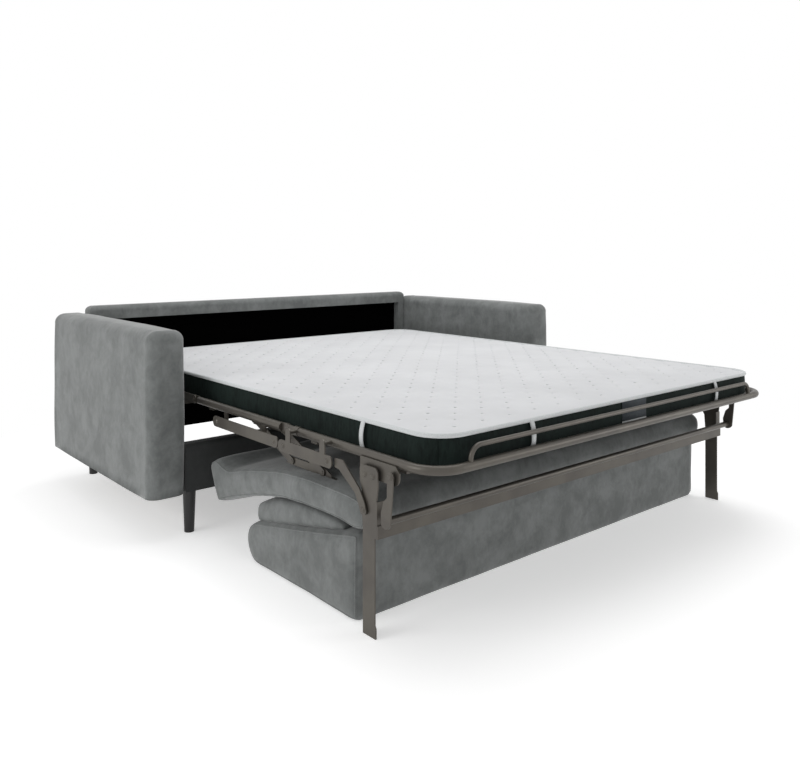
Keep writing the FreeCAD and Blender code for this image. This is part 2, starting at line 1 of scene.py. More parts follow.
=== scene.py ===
# %% [markdown]
# # A sofa that unfolds into a bed
#
# The frame holds the rigid parts in their real places: tubes, links, legs and the sofa's body.
# This notebook dresses that frame. It makes the mattress, the padded arms and the two
# upturned cushions as soft meshes, gives every surface a finish, and sets the light.
# Everything is in metres, and the mattress is 1.6 m wide and 2 m long.

import json
import math

import bmesh
import bpy
import numpy as np
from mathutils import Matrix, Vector, noise
from mathutils.bvhtree import BVHTree


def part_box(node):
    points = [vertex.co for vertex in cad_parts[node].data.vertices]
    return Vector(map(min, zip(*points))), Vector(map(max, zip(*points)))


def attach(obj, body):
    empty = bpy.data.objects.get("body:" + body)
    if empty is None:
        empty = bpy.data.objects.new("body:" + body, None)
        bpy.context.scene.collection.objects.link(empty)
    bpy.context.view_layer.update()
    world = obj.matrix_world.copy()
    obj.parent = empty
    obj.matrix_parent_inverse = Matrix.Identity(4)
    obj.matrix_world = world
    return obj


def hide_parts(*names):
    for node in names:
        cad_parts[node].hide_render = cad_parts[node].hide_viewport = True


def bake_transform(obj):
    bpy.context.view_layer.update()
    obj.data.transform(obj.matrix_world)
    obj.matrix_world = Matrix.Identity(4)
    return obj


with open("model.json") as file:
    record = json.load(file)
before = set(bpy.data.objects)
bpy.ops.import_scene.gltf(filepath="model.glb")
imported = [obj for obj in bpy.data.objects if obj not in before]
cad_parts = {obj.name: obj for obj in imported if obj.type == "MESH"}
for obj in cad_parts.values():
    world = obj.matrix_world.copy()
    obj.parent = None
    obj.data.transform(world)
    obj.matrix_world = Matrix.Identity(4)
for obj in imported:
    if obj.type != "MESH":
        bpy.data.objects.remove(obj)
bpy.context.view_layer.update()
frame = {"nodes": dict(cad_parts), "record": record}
nodes = frame["nodes"]
MM = 0.001
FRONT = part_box("arm_right")[0].y


def at(x, y, z):
    """A place in millimetres, with y counted back from the arms' front faces, in metres."""
    return Vector((x * MM, y * MM + FRONT, z * MM))


print("nodes", len(nodes), "arms start at y", round(FRONT, 4))

# %% [markdown]
# ## Finishes
#
# A finish starts from what the real thing is. Velvet is a cut pile, so it scatters light at its
# edge and shows pale and dark patches where the pile leans. The bed frame is steel tube with a
# satin paint. The mattress has a knitted pale top, a dark woven border and pale tape at its edges.
# Patterns could be pictures, but worked-out noise has no edge and needs no file.
# They read Object coordinates, which are metres here, so one unit of scale is one metre.

# %% Helpers for finishes


def linear(code):
    """A colour written as sRGB hex, in the linear values that shaders use."""
    parts = [int(code[i:i + 2], 16) / 255 for i in (1, 3, 5)]
    return [p / 12.92 if p <= 0.04045 else ((p + 0.055) / 1.055) ** 2.4 for p in parts] + [1.0]


def node(tree, kind, inputs=None, **settings):
    """Adds a node with its settings, and sets or links its inputs."""
    made = tree.nodes.new(kind)
    for name, value in settings.items():
        setattr(made, name, value)
    for key, value in (inputs or {}).items():
        if isinstance(value, bpy.types.NodeSocket):
            tree.links.new(value, made.inputs[key])
        else:
            made.inputs[key].default_value = value
    return made


def blank(name):
    """An empty material and its object coordinates."""
    made = bpy.data.materials.new(name)
    made.use_nodes = True
    tree = made.node_tree
    tree.nodes.clear()
    place = node(tree, "ShaderNodeTexCoord").outputs["Object"]
    return made, tree, place


def ramp(tree, value, low, high, dark, light):
    """Turns a value between low and high into a colour between dark and light."""
    made = node(tree, "ShaderNodeValToRGB", {0: value})
    first, last = made.color_ramp.elements
    first.position, first.color = low, linear(dark)
    last.position, last.color = high, linear(light)
    return made.outputs[0]


def grain(tree, place, scale, detail=2.0, roughness=0.5, stretch=(1, 1, 1), twist=0.0):
    """Noise whose features are about one metre divided by scale."""
    moved = node(tree, "ShaderNodeMapping", {0: place, "Scale": stretch}).outputs[0]
    made = node(tree, "ShaderNodeTexNoise", {
        "Vector": moved, "Scale": scale, "Detail": detail, "Roughness": roughness,
        "Distortion": twist,
    })
    return made.outputs[0]


def bump(tree, height, distance, strength=1.0, below=None):
    """A bump of the given height in metres, over another one if given."""
    inputs = {"Height": height, "Distance": distance, "Strength": strength}
    if below is not None:
        inputs["Normal"] = below
    return node(tree, "ShaderNodeBump", inputs).outputs[0]


def finish(tree, **sockets):
    """The surface shader. A name with underscores is a socket's name with spaces."""
    inputs = {name.replace("_", " "): value for name, value in sockets.items()}
    shader = node(tree, "ShaderNodeBsdfPrincipled", inputs)
    node(tree, "ShaderNodeOutputMaterial", {"Surface": shader.outputs[0]})


# %% Velvet


def crushed_velvet(name, dark, light):
    """Polyester velvet: a short pile, pressed into leaning patches 30 to 120 mm across."""
    made, tree, place = blank(name)
    lean = grain(tree, place, 9.0, 8.0, 0.68, twist=0.3)
    streak = grain(tree, place, 42.0, 4.0, 0.6, stretch=(1, 1, 0.6), twist=0.6)
    mixed = node(tree, "ShaderNodeMath", {0: streak, 1: 0.35, 2: lean}, operation="MULTIPLY_ADD")
    colour = ramp(tree, mixed.outputs[0], 0.55, 0.8, dark, light)
    # The pile is about 1 mm deep. Single threads are too fine to show, so these are 2.5 mm tufts.
    pile = grain(tree, place, 400.0, 2.0, 0.6)
    pressed = bump(tree, lean, 0.004, 0.35)
    finish(
        tree, Base_Color=colour, Roughness=0.78, Normal=bump(tree, pile, 0.0006, 0.4, pressed),
        Sheen_Weight=0.45, Sheen_Roughness=0.35,
    )
    return made


VELVET = crushed_velvet("crushed_velvet", "#5f6261", "#767978")
# The dark velvet is the same velvet with painted shade: its darker colours stand for the shadow on
# the front rail under the open bed.
VELVET_PAINTED_SHADE = crushed_velvet("dark_velvet", "#202222", "#2a2c2c")

# %% Mattress cloths


def knitted_ticking():
    """Stretch-knit mattress cover: near white, with a 4 mm knit that only just shows."""
    made, tree, place = blank("knitted_ticking")
    knit = grain(tree, place, 260.0, 2.0, 0.5, stretch=(1, 0.6, 1))
    soft = grain(tree, place, 5.0, 2.0, 0.5)
    colour = ramp(tree, soft, 0.3, 0.7, "#d3d4d6", "#dbdcde")
    quilted = bump(tree, soft, 0.006, 0.4)
    finish(
        tree, Base_Color=colour, Roughness=0.9, Normal=bump(tree, knit, 0.0008, 0.5, quilted),
        Sheen_Weight=0.2, Sheen_Roughness=0.5,
    )
    return made


def border_weave():
    """Dark green woven border cloth with slubs that run up and down, about 5 mm wide."""
    made, tree, place = blank("dark_border_weave")
    slub = grain(tree, place, 120.0, 3.0, 0.6, stretch=(1, 1, 0.3))
    cloud = grain(tree, place, 22.0, 4.0, 0.6, stretch=(1, 1, 0.4))
    mixed = node(tree, "ShaderNodeMath", {0: cloud, 1: 0.8, 2: slub}, operation="MULTIPLY_ADD")
    colour = ramp(tree, mixed.outputs[0], 0.65, 1.2, "#0c1311", "#18221f")
    finish(
        tree, Base_Color=colour, Roughness=0.82, Normal=bump(tree, slub, 0.0012, 0.6),
        Specular_IOR_Level=0.15,
    )
    return made


def plain_cloth(name, dark, light, thread=500.0, shine=0.3):
    """A plain matt weave, such as sewn tape, lining or a label. Thread is its count per metre."""
    made, tree, place = blank(name)
    weave = grain(tree, place, thread, 2.0, 0.5)
    colour = ramp(tree, weave, 0.35, 0.65, dark, light)
    finish(
        tree, Base_Color=colour, Roughness=0.85, Specular_IOR_Level=shine,
        Normal=bump(tree, weave, 0.0005, 0.5),
    )
    return made


TICKING = knitted_ticking()
BORDER = border_weave()
TAPE = plain_cloth("edge_tape", "#c9cccd", "#dadddd")
UNDERCLOTH = plain_cloth("under_cloth", "#2b2d2d", "#343737")
# Black lining cloth closes the sofa's base. Its near-zero colour is darker than the cloth itself
# and also paints the shade in the recess behind the front rail.
LINING_AND_SHADE = plain_cloth("black_lining_and_shade", "#020202", "#060606", 300.0, 0.0)
LABEL = plain_cloth("plain_label", "#3d4246", "#474c50")

# %% Metal and wood


def painted_steel():
    """Steel tube with satin bronze powder paint: a fine orange peel, and soft long highlights."""
    made, tree, place = blank("satin_painted_steel")
    peel = grain(tree, place, 700.0, 2.0, 0.5)
    drift = grain(tree, place, 12.0, 3.0, 0.5)
    colour = ramp(tree, drift, 0.35, 0.65, "#4f4b46", "#5a564f")
    finish(
        tree, Base_Color=colour, Metallic=0.55, Roughness=0.38,
        Normal=bump(tree, peel, 0.0002, 0.35),
    )
    return made


def stained_wood(name, dark, light):
    """Turned beech: growth rings about 4 mm apart, drawn out along the grain."""
    made, tree, place = blank(name)
    rings = grain(tree, place, 240.0, 3.0, 0.6, stretch=(1, 1, 0.06), twist=0.4)
    colour = ramp(tree, rings, 0.35, 0.7, dark, light)
    finish(tree, Base_Color=colour, Roughness=0.42, Normal=bump(tree, rings, 0.0004, 0.4))
    return made


STEEL = painted_steel()
# The mesh's thin wires are dipped in dark matt paint, which has the same fine grain as a cloth.
WIRE = plain_cloth("wire_paint", "#252422", "#2e2c2a", 900.0)
BLACK_WOOD = stained_wood("black_stained_beech", "#080808", "#121212")
BEECH = stained_wood("plain_beech", "#84694a", "#a58763")

# %% Give every rigid node its finish
FINISHES = {
    "velvet": VELVET, "dark_velvet": VELVET_PAINTED_SHADE, "lining": LINING_AND_SHADE, "ticking": TICKING,
    "steel": STEEL, "mesh_wire": WIRE, "feet": BLACK_WOOD, "rail_wood": BEECH,
}
for part in frame["record"]["subparts"]:
    cover = nodes[part["node"]]
    cover.data.materials.clear()
    cover.data.materials.append(FINISHES[part["material_slot"]])

# %% [markdown]
# ## Making meshes from rules
#
# Padded blocks and the mattress start as a box whose faces are fine grids. Each point near an
# edge is then pulled onto a round of the right radius. A bevel could round the edges too, but
# grid points can also be pushed out for padding or down for tufts, which a bevel can't do.

# %% Helpers for meshes
ROUND_STEPS = 4


def stations(low, high, radius, cell):
    """Grid lines from low to high, closer together where the edge is round."""
    angles = [math.radians(45 * i / ROUND_STEPS) for i in range(ROUND_STEPS, 0, -1)]
    turns = [radius * (1 - math.tan(angle)) for angle in angles]
    count = max(1, round((high - low - 2 * radius) / cell))
    inner = np.linspace(low + radius, high - radius, count + 1)
    return np.array([low + t for t in turns] + list(inner) + [high - t for t in reversed(turns)])


def box_shell(xs, ys, zs):
    """Points and quads of a closed box whose faces are grids, all facing out."""
    lines = (xs, ys, zs)
    index = {}
    points, quads = [], []

    def point(key):
        if key not in index:
            index[key] = len(points)
            points.append([lines[axis][key[axis]] for axis in range(3)])
        return index[key]

    for axis in range(3):
        a, b = (axis + 1) % 3, (axis + 2) % 3
        for end in (0, len(lines[axis]) - 1):
            for u in range(len(lines[a]) - 1):
                for v in range(len(lines[b]) - 1):
                    corners = []
                    for du, dv in ((0, 0), (1, 0), (1, 1), (0, 1)):
                        key = [0, 0, 0]
                        key[axis], key[a], key[b] = end, u + du, v + dv
                        corners.append(point(tuple(key)))
                    if end == 0:
                        corners.reverse()
                    quads.append(corners)
    return np.array(points), quads


def piece_from(name, points, faces, materials, slots=None):
    """A smooth-shaded mesh object at the origin, with its place in its points."""
    data = bpy.data.meshes.new(name)
    data.from_pydata([tuple(p) for p in points], [], faces)
    for made in materials:
        data.materials.append(made)
    data.polygons.foreach_set("use_smooth", [True] * len(data.polygons))
    if slots is not None:
        data.polygons.foreach_set("material_index", slots)
    made = bpy.data.objects.new(name, data)
    bpy.context.scene.collection.objects.link(made)
    return made


def positions(data):
    """A mesh's points as an array with a row for each."""
    co = np.zeros(len(data.vertices) * 3)
    data.vertices.foreach_get("co", co)
    return co.reshape(-1, 3)


def set_positions(data, points):
    """Moves a mesh's points to the rows of an array."""
    data.vertices.foreach_set("co", points.astype(np.float32).ravel())
    data.update()


def unit(vector):
    """The vector at length 1."""
    return vector / max(np.linalg.norm(vector), 1e-12)


def strip_along(path, section):
    """Points and faces of a bar whose section, in (side, up) pairs, follows a closed path."""
    path = np.array(path, float)
    count, ring = len(path), len(section)
    points, faces = [], []
    side = None
    for i in range(count):
        along = unit(path[(i + 1) % count] - path[i - 1])
        if side is None:
            helper = (0.0, 0.0, 1.0) if abs(along[2]) < 0.9 else (1.0, 0.0, 0.0)
            side = unit(np.cross(along, helper))
        side = unit(side - along * (side @ along))
        up = np.cross(side, along)
        for s, u in section:
            points.append(path[i] + side * s + up * u)
    for i in range(count):
        here, there = i * ring, (i + 1) % count * ring
        for j in range(ring):
            k = (j + 1) % ring
            faces.append([here + j, here + k, there + k, there + j])
    return np.array(points), faces


def round_section(radius, sides=8):
    """The section of a cord or a round tape."""
    angles = [2 * math.pi * i / sides for i in range(sides)]
    return [(radius * math.cos(angle), radius * math.sin(angle)) for angle in angles]


def flat_section(width, thickness):
    """The section of a flat tape."""
    w, t = width / 2, thickness / 2
    return [(w, -t), (w, t), (-w, t), (-w, -t)]


def gather(parts):
    """Joins (points, faces, slot) groups into one set of points, faces and slots."""
    points, faces, slots = [], [], []
    for part_points, part_faces, slot in parts:
        shift = len(points)
        points.extend(part_points)
        faces.extend([[i + shift for i in face] for face in part_faces])
        slots.extend([slot] * len(part_faces) if isinstance(slot, int) else slot)
    return points, faces, slots


def face_outwards(piece):
    """Turns every closed shell of the mesh to face out."""
    bm = bmesh.new()
    bm.from_mesh(piece.data)
    bmesh.ops.recalc_face_normals(bm, faces=bm.faces[:])
    bm.to_mesh(piece.data)
    bm.free()


# %% [markdown]
# ## Padded arms
#
# An arm is a wooden box with foam and velvet pulled over it, so its faces swell by a few
# millimetres, its long edges are round and its underside is flat. A box shell with round edges
# gives that form directly.

# %% Build the arms
ARM_ROUND = 0.044
ARM_SWELL = 0.005
ARM_CELL = 0.03
# Foam gives the faces slow waves, about a fifth of a metre long.
ARM_WAVES = 5.0
ARM_WAVE_SHARE = 0.35


def padded_block(name, low, high, radius, swell, cell, materials):
    """A soft block with round edges, padded faces and a flat underside."""
    # The shell starts one radius too low, and is then pressed flat at the real underside.
    under = low.z
    low = np.array(low) - np.array([0, 0, radius])
    high = np.array(high)
    lines = [stations(low[i], high[i], radius, cell) for i in range(3)]
    points, quads = box_shell(*lines)
    core = np.clip(points, low + radius, high - radius)
    away = points - core
    away /= np.linalg.norm(away, axis=1)[:, None]
    middle, half = (low + high) / 2, (high - low) / 2
    share = np.clip(np.abs(points - middle) / half, 0, 1)
    spread = np.prod(1 - (share * (1 - np.abs(away))) ** 4, axis=1)
    waves = np.array([noise.noise(Vector(p) * ARM_WAVES) for p in points])
    reach = radius - swell + swell * spread * (1 + ARM_WAVE_SHARE * waves)
    points = core + away * reach[:, None]
    points[:, 2] = np.maximum(points[:, 2], under)
    return piece_from(name, points, quads, materials)


for side in ("left", "right"):
    low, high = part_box("arm_" + side)
    name = "arm_cover_" + side
    sofa_arm = padded_block(name, low, high, ARM_ROUND, ARM_SWELL, ARM_CELL, [VELVET])
    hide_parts("arm_" + side)
    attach(sofa_arm, "base")
    print(sofa_arm.name, len(sofa_arm.data.polygons), "faces")

# %% [markdown]
# ## The mattress
#
# The mattress is one piece with a pale knitted top, a dark border, and round tape sewn along
# both edges. Its pieces ride on the frame's sections, so it is made whole and then cut into
# pieces across the hinges. The pieces over a hinge are put on neither of the bodies it joins.
# Seen from above its corners are round, so the grid's square corners are pulled onto a circle.

# %% Mattress sizes
MATTRESS_HALF = 800
MATTRESS_FOOT = -1142
MATTRESS_LOW = at(-MATTRESS_HALF, MATTRESS_FOOT, 436)
MATTRESS_HIGH = at(MATTRESS_HALF, 866, 529)
MATTRESS_CORNER = 0.090
MATTRESS_EDGE = 0.008
MATTRESS_CELL = 0.0125
MATTRESS_CROWN = 0.012
CROWN_RUN = 0.16
BORDER_CELL = 0.012
BORDER_SWELL = 0.003
TUFT_PITCH = 0.105
TUFT_DEPTH = 0.0032
TUFT_WIDTH = 0.016
TUFT_MARGIN = 0.03
TUFT_LENGTH = 0.011
TUFT_THICKNESS = 0.0022
TUFT_RAISE = 0.0012
TAPE_RADIUS = 0.0062

# Places in the mattress's list of materials.
TOP_SLOT, BORDER_SLOT, UNDER_SLOT, TAPE_SLOT, LABEL_SLOT = range(5)


def top_height(x, y):
    """Height of the mattress top above its edge: a crown that fades out towards the foot."""
    across = 1 - (x / MATTRESS_HIGH.x) ** 2
    near = np.minimum((y - MATTRESS_LOW.y) / CROWN_RUN, (MATTRESS_HIGH.y - y) / CROWN_RUN)
    fade = np.clip(near, 0, 1)
    return MATTRESS_CROWN * across * fade * (2 - fade)


def nearest_tuft(x, y):
    """Distance to the nearest tuft of a staggered pattern."""
    best = np.full(np.shape(x), 1e9)
    for shift in (0.0, 0.5):
        u = x / TUFT_PITCH - shift
        v = y / TUFT_PITCH - shift
        gap = np.hypot(u - np.round(u), v - np.round(v)) * TUFT_PITCH
        best = np.minimum(best, gap)
    return best


# %% Mattress body
def mattress_body():
    """The padded block of the mattress, with a slot for each face."""
    low, high = np.array(MATTRESS_LOW), np.array(MATTRESS_HIGH)
    cells = (MATTRESS_CELL, MATTRESS_CELL, BORDER_CELL)
    lines = [stations(low[i], high[i], MATTRESS_EDGE, cells[i]) for i in range(3)]
    points, quads = box_shell(*lines)
    core = np.clip(points, low + MATTRESS_EDGE, high - MATTRESS_EDGE)
    away = points - core
    away /= np.linalg.norm(away, axis=1)[:, None]
    points = core + away * MATTRESS_EDGE
    # The border swells between its two tapes.
    level = (points[:, 2] - low[2]) / (high[2] - low[2])
    swell = BORDER_SWELL * np.clip(4 * level * (1 - level), 0, 1)
    # The two plan corners at each end go onto a circle.
    inner = np.clip(points[:, :2], low[:2] + MATTRESS_CORNER, high[:2] - MATTRESS_CORNER)
    off = points[:, :2] - inner
    reach = np.max(np.abs(off), axis=1)
    size = np.linalg.norm(off, axis=1)
    scale = np.where(size > 1e-9, reach / np.maximum(size, 1e-9), 1.0)
    rim = reach > MATTRESS_CORNER - MATTRESS_EDGE
    scale = scale * np.where(rim, 1 + swell / MATTRESS_CORNER, 1.0)
    points[:, :2] = inner + off * scale[:, None]
    top = away[:, 2] > 0.9
    x, y = points[:, 0], points[:, 1]
    dent = TUFT_DEPTH * np.exp(-(nearest_tuft(x, y) / TUFT_WIDTH) ** 2)
    points[:, 2] += np.where(top, top_height(x, y) - dent, 0.0)
    slots = []
    for quad in quads:
        a, b, c = (points[quad[i]] for i in (0, 1, 2))
        turn = unit(np.cross(b - a, c - a))[2]
        slots.append(TOP_SLOT if turn > 0.75 else UNDER_SLOT if turn < -0.75 else BORDER_SLOT)
    print("mattress grid", len(points), "points, highest", round(float(points[:, 2].max()), 4))
    return points, quads, slots


# %% Tape, handles and label
CORNER_STEPS = 8
# The tape's line lies this far out from the border, below its upper edge and above its lower one.
TAPE_OUT = 0.001
TAPE_DROP = 0.003
TAPE_RISE = 0.004
HANDLE_WIDTH = 0.017
HANDLE_THICKNESS = 0.0016
HANDLE_STEPS = 12
# A handle lies this far off the border at its ends, and this much more in its middle.
HANDLE_OFF = 0.004
HANDLE_BOW = 0.010
# Its ends are this far above the mattress's lower and upper edges.
HANDLE_LOW = 0.002
HANDLE_HIGH = 0.001
FOOT_HANDLES = (-462, 506)
SIDE_HANDLES = (-857, 560)
LABEL_X = 22
LABEL_WIDTH = 0.128
LABEL_THICKNESS = 0.0012
LABEL_OUT = 0.0038


def edge_line(z, out, step=0.02):
    """The mattress's plan outline at a height, as a closed loop of points."""
    low, high = np.array(MATTRESS_LOW) - out, np.array(MATTRESS_HIGH) + out
    radius = MATTRESS_CORNER + out
    centres = [
        (high[0] - radius, high[1] - radius, 0), (low[0] + radius, high[1] - radius, 90),
        (low[0] + radius, low[1] + radius, 180), (high[0] - radius, low[1] + radius, 270),
    ]
    path = []
    for cx, cy, start in centres:
        for i in range(CORNER_STEPS + 1):
            a = math.radians(start + 90 * i / CORNER_STEPS)
            path.append((cx + radius * math.cos(a), cy + radius * math.sin(a), z))
    dense = []
    for i in range(len(path)):
        a, b = np.array(path[i]), np.array(path[(i + 1) % len(path)])
        count = max(1, round(float(np.linalg.norm(b - a)) / step))
        dense.extend(a + (b - a) * k / count for k in range(count))
    return dense


def handle(x, y, outward):
    """A tape handle sewn at both edges, which stands off the border in its middle."""
    low, high = MATTRESS_LOW.z + HANDLE_LOW, MATTRESS_HIGH.z + HANDLE_HIGH
    path = []
    for i in range(HANDLE_STEPS + 1):
        t = i / HANDLE_STEPS
        off = HANDLE_OFF + HANDLE_BOW * math.sin(math.pi * t)
        path.append((x + outward[0] * off, y + outward[1] * off, low + (high - low) * t))
    return path


def ribbon(path, across, width, thickness):
    """A flat ribbon along a path, with its width along the given direction."""
    path = [np.array(p) for p in path]
    across = np.array(across, float)
    points, faces = [], []
    for i, p in enumerate(path):
        along = unit(path[min(i + 1, len(path) - 1)] - path[max(i - 1, 0)])
        up = unit(np.cross(across, along))
        for s, u in flat_section(width, thickness):
            points.append(p + across * s + up * u)
    for here in range(0, 4 * (len(path) - 1), 4):
        for j in range(4):
            k = (j + 1) % 4
            faces.append([here + j, here + k, here + 4 + k, here + 4 + j])
    faces.append([3, 2, 1, 0])
    faces.append([(len(path) - 1) * 4 + j for j in range(4)])
    return points, faces


def mattress_parts():
    """The body, the tapes, the handles and the label, as (points, faces, slot) groups."""
    parts = [mattress_body()]
    for z in (MATTRESS_HIGH.z - TAPE_DROP, MATTRESS_LOW.z + TAPE_RISE):
        tape = strip_along(edge_line(z, TAPE_OUT), round_section(TAPE_RADIUS))
        parts.append((*tape, TAPE_SLOT))
    sewn = [(x, MATTRESS_FOOT, (0, -1), (1, 0, 0)) for x in FOOT_HANDLES]
    for y in SIDE_HANDLES:
        sewn += [(MATTRESS_HALF * turn, y, (turn, 0), (0, 1, 0)) for turn in (-1, 1)]
    for x, y, outward, across in sewn:
        place = at(x, y, 0)
        path = handle(place.x, place.y, outward)
        parts.append((*ribbon(path, across, HANDLE_WIDTH, HANDLE_THICKNESS), TAPE_SLOT))
    # The label's place holds a plain patch over a plain pale strip. Heights are in millimetres.
    place = at(LABEL_X, MATTRESS_FOOT, 0)
    for low, high, slot in ((463, 526, LABEL_SLOT), (441, 462, TAPE_SLOT)):
        patch = [(place.x, place.y - LABEL_OUT, z * MM) for z in np.linspace(low, high, 5)]
        parts.append((*ribbon(patch, (1, 0, 0), LABEL_WIDTH, LABEL_THICKNESS), slot))
    return parts


# %% [markdown]
# ### Tufts from a node tree
#
# Each dent in the top holds a short bar of thread. There are hundreds, all alike, so one small
# bar is placed on every point of a cloud by Geometry Nodes. A seed turns each a little, because
# hand-guided stitching isn't perfectly straight.

# %% Tuft tree
TUFT_SEED = 7
TUFT_TURN = 0.5


def group_tree(name, sizes):
    """A geometry tree with named number inputs. Returns the tree and its input node."""
    tree = bpy.data.node_groups.new(name, "GeometryNodeTree")
    tree.interface.new_socket("Geometry", in_out="INPUT", socket_type="NodeSocketGeometry")
    for size, value in sizes.items():
        made = tree.interface.new_socket(size, in_out="INPUT", socket_type="NodeSocketFloat")
        made.default_value = value
    tree.interface.new_socket("Geometry", in_out="OUTPUT", socket_type="NodeSocketGeometry")
    entry = node(tree, "NodeGroupInput")
    return tree, entry


def grown(name, points, tree, values):
    """Runs a tree on a cloud of points and returns the result as points and faces."""
    data = bpy.data.meshes.new(name)
    data.from_pydata([tuple(p) for p in points], [], [])
    cloud = bpy.data.objects.new(name, data)
    bpy.context.scene.collection.objects.link(cloud)
    modifier = cloud.modifiers.new("Tree", "NODES")
    modifier.node_group = tree
    for item in tree.interface.items_tree:
        if item.in_out == "INPUT" and item.name in values:
            modifier[item.identifier] = values[item.name]
    graph = bpy.context.evaluated_depsgraph_get()
    made = bpy.data.meshes.new_from_object(cloud.evaluated_get(graph))
    result = positions(made), [list(p.vertices) for p in made.polygons]
    bpy.data.objects.remove(cloud)
    return result


def tuft_tree():
    """Places a small bar of thread on every point, each turned a little about the vertical."""
    tree, entry = group_tree("tufts", {"Length": TUFT_LENGTH, "Thickness": TUFT_THICKNESS})
    bar = node(tree, "GeometryNodeMeshUVSphere", {"Segments": 6, "Rings": 4, "Radius": 0.5})
    size = node(tree, "ShaderNodeCombineXYZ", {
        0: entry.outputs["Length"], 1: entry.outputs["Thickness"], 2: entry.outputs["Thickness"],
    })
    # Inputs 2 and 3 are the least and the greatest number.
    turn = node(
        tree, "FunctionNodeRandomValue", {2: -TUFT_TURN, 3: TUFT_TURN, "Seed": TUFT_SEED},
        data_type="FLOAT",
    )
    facing = node(tree, "ShaderNodeCombineXYZ", {2: turn.outputs[1]})
    placed = node(tree, "GeometryNodeInstanceOnPoints", {
        "Points": entry.outputs["Geometry"], "Instance": bar.outputs["Mesh"],
        "Rotation": facing.outputs[0], "Scale": size.outputs[0],
    })
    real = node(tree, "GeometryNodeRealizeInstances", {0: placed.outputs[0]})
    painted = node(tree, "GeometryNodeSetMaterial", {
        "Geometry": real.outputs[0], "Material": TICKING,
    })
    node(tree, "NodeGroupOutput", {0: painted.outputs[0]})
    return tree


def tuft_places():
    """The staggered places of the tufts, just above the bottoms of their dents."""
    places = []
    columns = int(MATTRESS_HIGH.x / TUFT_PITCH) + 1
    rows = int(max(abs(MATTRESS_LOW.y), abs(MATTRESS_HIGH.y)) / TUFT_PITCH) + 1
    for shift in (0.0, 0.5):
        for i in range(-columns, columns + 1):
            for j in range(-rows, rows + 1):
                x, y = (i + shift) * TUFT_PITCH, (j + shift) * TUFT_PITCH
                inside = abs(x) < MATTRESS_HIGH.x - TUFT_MARGIN
                if inside and MATTRESS_LOW.y + TUFT_MARGIN < y < MATTRESS_HIGH.y - TUFT_MARGIN:
                    z = MATTRESS_HIGH.z + float(top_height(np.array(x), np.array(y))) - TUFT_DEPTH
                    places.append((x, y, z + TUFT_RAISE))
    return places


# %% Cut the mattress across the hinges


def cut_between(source, name, low_y, high_y):
    """The part of a mesh between two planes across y, with its cut ends closed."""
    bm = bmesh.new()
    bm.from_mesh(source.data)
    for y, sign in ((low_y, 1), (high_y, -1)):
        if y is None:
            continue
        geometry = bm.verts[:] + bm.edges[:] + bm.faces[:]
        cut = bmesh.ops.bisect_plane(
            bm, geom=geometry, dist=1e-6, plane_co=(0, y, 0), plane_no=(0, sign, 0),
            clear_inner=True,
        )
        rim = [e for e in cut["geom_cut"] if isinstance(e, bmesh.types.BMEdge) and e.is_boundary]
        # A flat lid with sharp edges keeps the cut from showing as a shaded line.
        lids = bmesh.ops.holes_fill(bm, edges=rim, sides=0)["faces"]
        for lid in lids:
            lid.smooth = False
            for edge in lid.edges:
                edge.smooth = False
    data = bpy.data.meshes.new(name)
    bm.to_mesh(data)
    bm.free()
    for made in source.data.materials:
        data.materials.append(made)
    made = bpy.data.objects.new(name, data)
    bpy.context.scene.collection.objects.link(made)
    return made


tufts = grown("tuft_cloud", tuft_places(), tuft_tree(), {
    "Length": TUFT_LENGTH, "Thickness": TUFT_THICKNESS,
})
points, faces, slots = gather(mattress_parts() + [(*tufts, TOP_SLOT)])
MATTRESS_CLOTHS = [TICKING, BORDER, UNDERCLOTH, TAPE, LABEL]
whole = piece_from("whole_mattress", points, faces, MATTRESS_CLOTHS, slots)

# The hinge pins sit a little inside the ends of their links.
PIN_INSET = 0.015
links_low, links_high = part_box("fold_links")
bend_low, bend_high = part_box("mattress_bend")
HINGE_HEAD = links_high.y - PIN_INSET
HINGE_MIDDLE = links_low.y + PIN_INSET
HINGE_FOOT = (bend_low.y + bend_high.y) / 2
# How far from a hinge its bending piece ends.
FOLD_REACH = 0.095
BEND_REACH = 0.060
link_middle = (HINGE_HEAD + HINGE_MIDDLE) / 2
print("hinges at", [round(v, 4) for v in (HINGE_HEAD, HINGE_MIDDLE, HINGE_FOOT)])

head_y, middle_y = HINGE_HEAD + FOLD_REACH, HINGE_MIDDLE - FOLD_REACH
foot_y, bend_y = HINGE_FOOT - BEND_REACH, HINGE_FOOT + BEND_REACH
# Each piece's name, its two cuts, the node it stands for, and one or two bodies.
mattress_cuts = [
    ("mattress_head_cover", head_y, None, "mattress_head", "head_section", None),
    ("mattress_fold_rear", link_middle, head_y, "mattress_fold", "head_section", "fold_links"),
    ("mattress_fold_front", middle_y, link_middle, "mattress_fold", "middle_section", "fold_links"),
    ("mattress_middle_cover", bend_y, middle_y, "mattress_middle", "middle_section", None),
    ("mattress_bend_cover", foot_y, bend_y, "mattress_bend", "middle_section", "foot_section"),
    ("mattress_foot_cover", None, foot_y, "mattress_foot", "foot_section", None),
]
for name, low_y, high_y, stands_for, body, other in mattress_cuts:
    cover = cut_between(whole, name, low_y, high_y)
    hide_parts(stands_for)
    if other is None:
        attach(cover, body)
    else:
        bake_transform(cover)
    print(name, len(cover.data.polygons), "faces")
bpy.data.objects.remove(whole)

# %% [markdown]
# ## The upturned cushions
#
# Under the open bed lie the sofa's seat and back. The seat is upside down, so its arched
# underside faces up. Their side outlines are drawn with lines and arcs and swept from arm to arm.
# The sweep is remeshed into even squares and blown up a little by a cloth simulation,
# because real foam fills its cover and pulls it tight. Piping is laid along the seams afterwards.

# %% Outlines of the two cushions


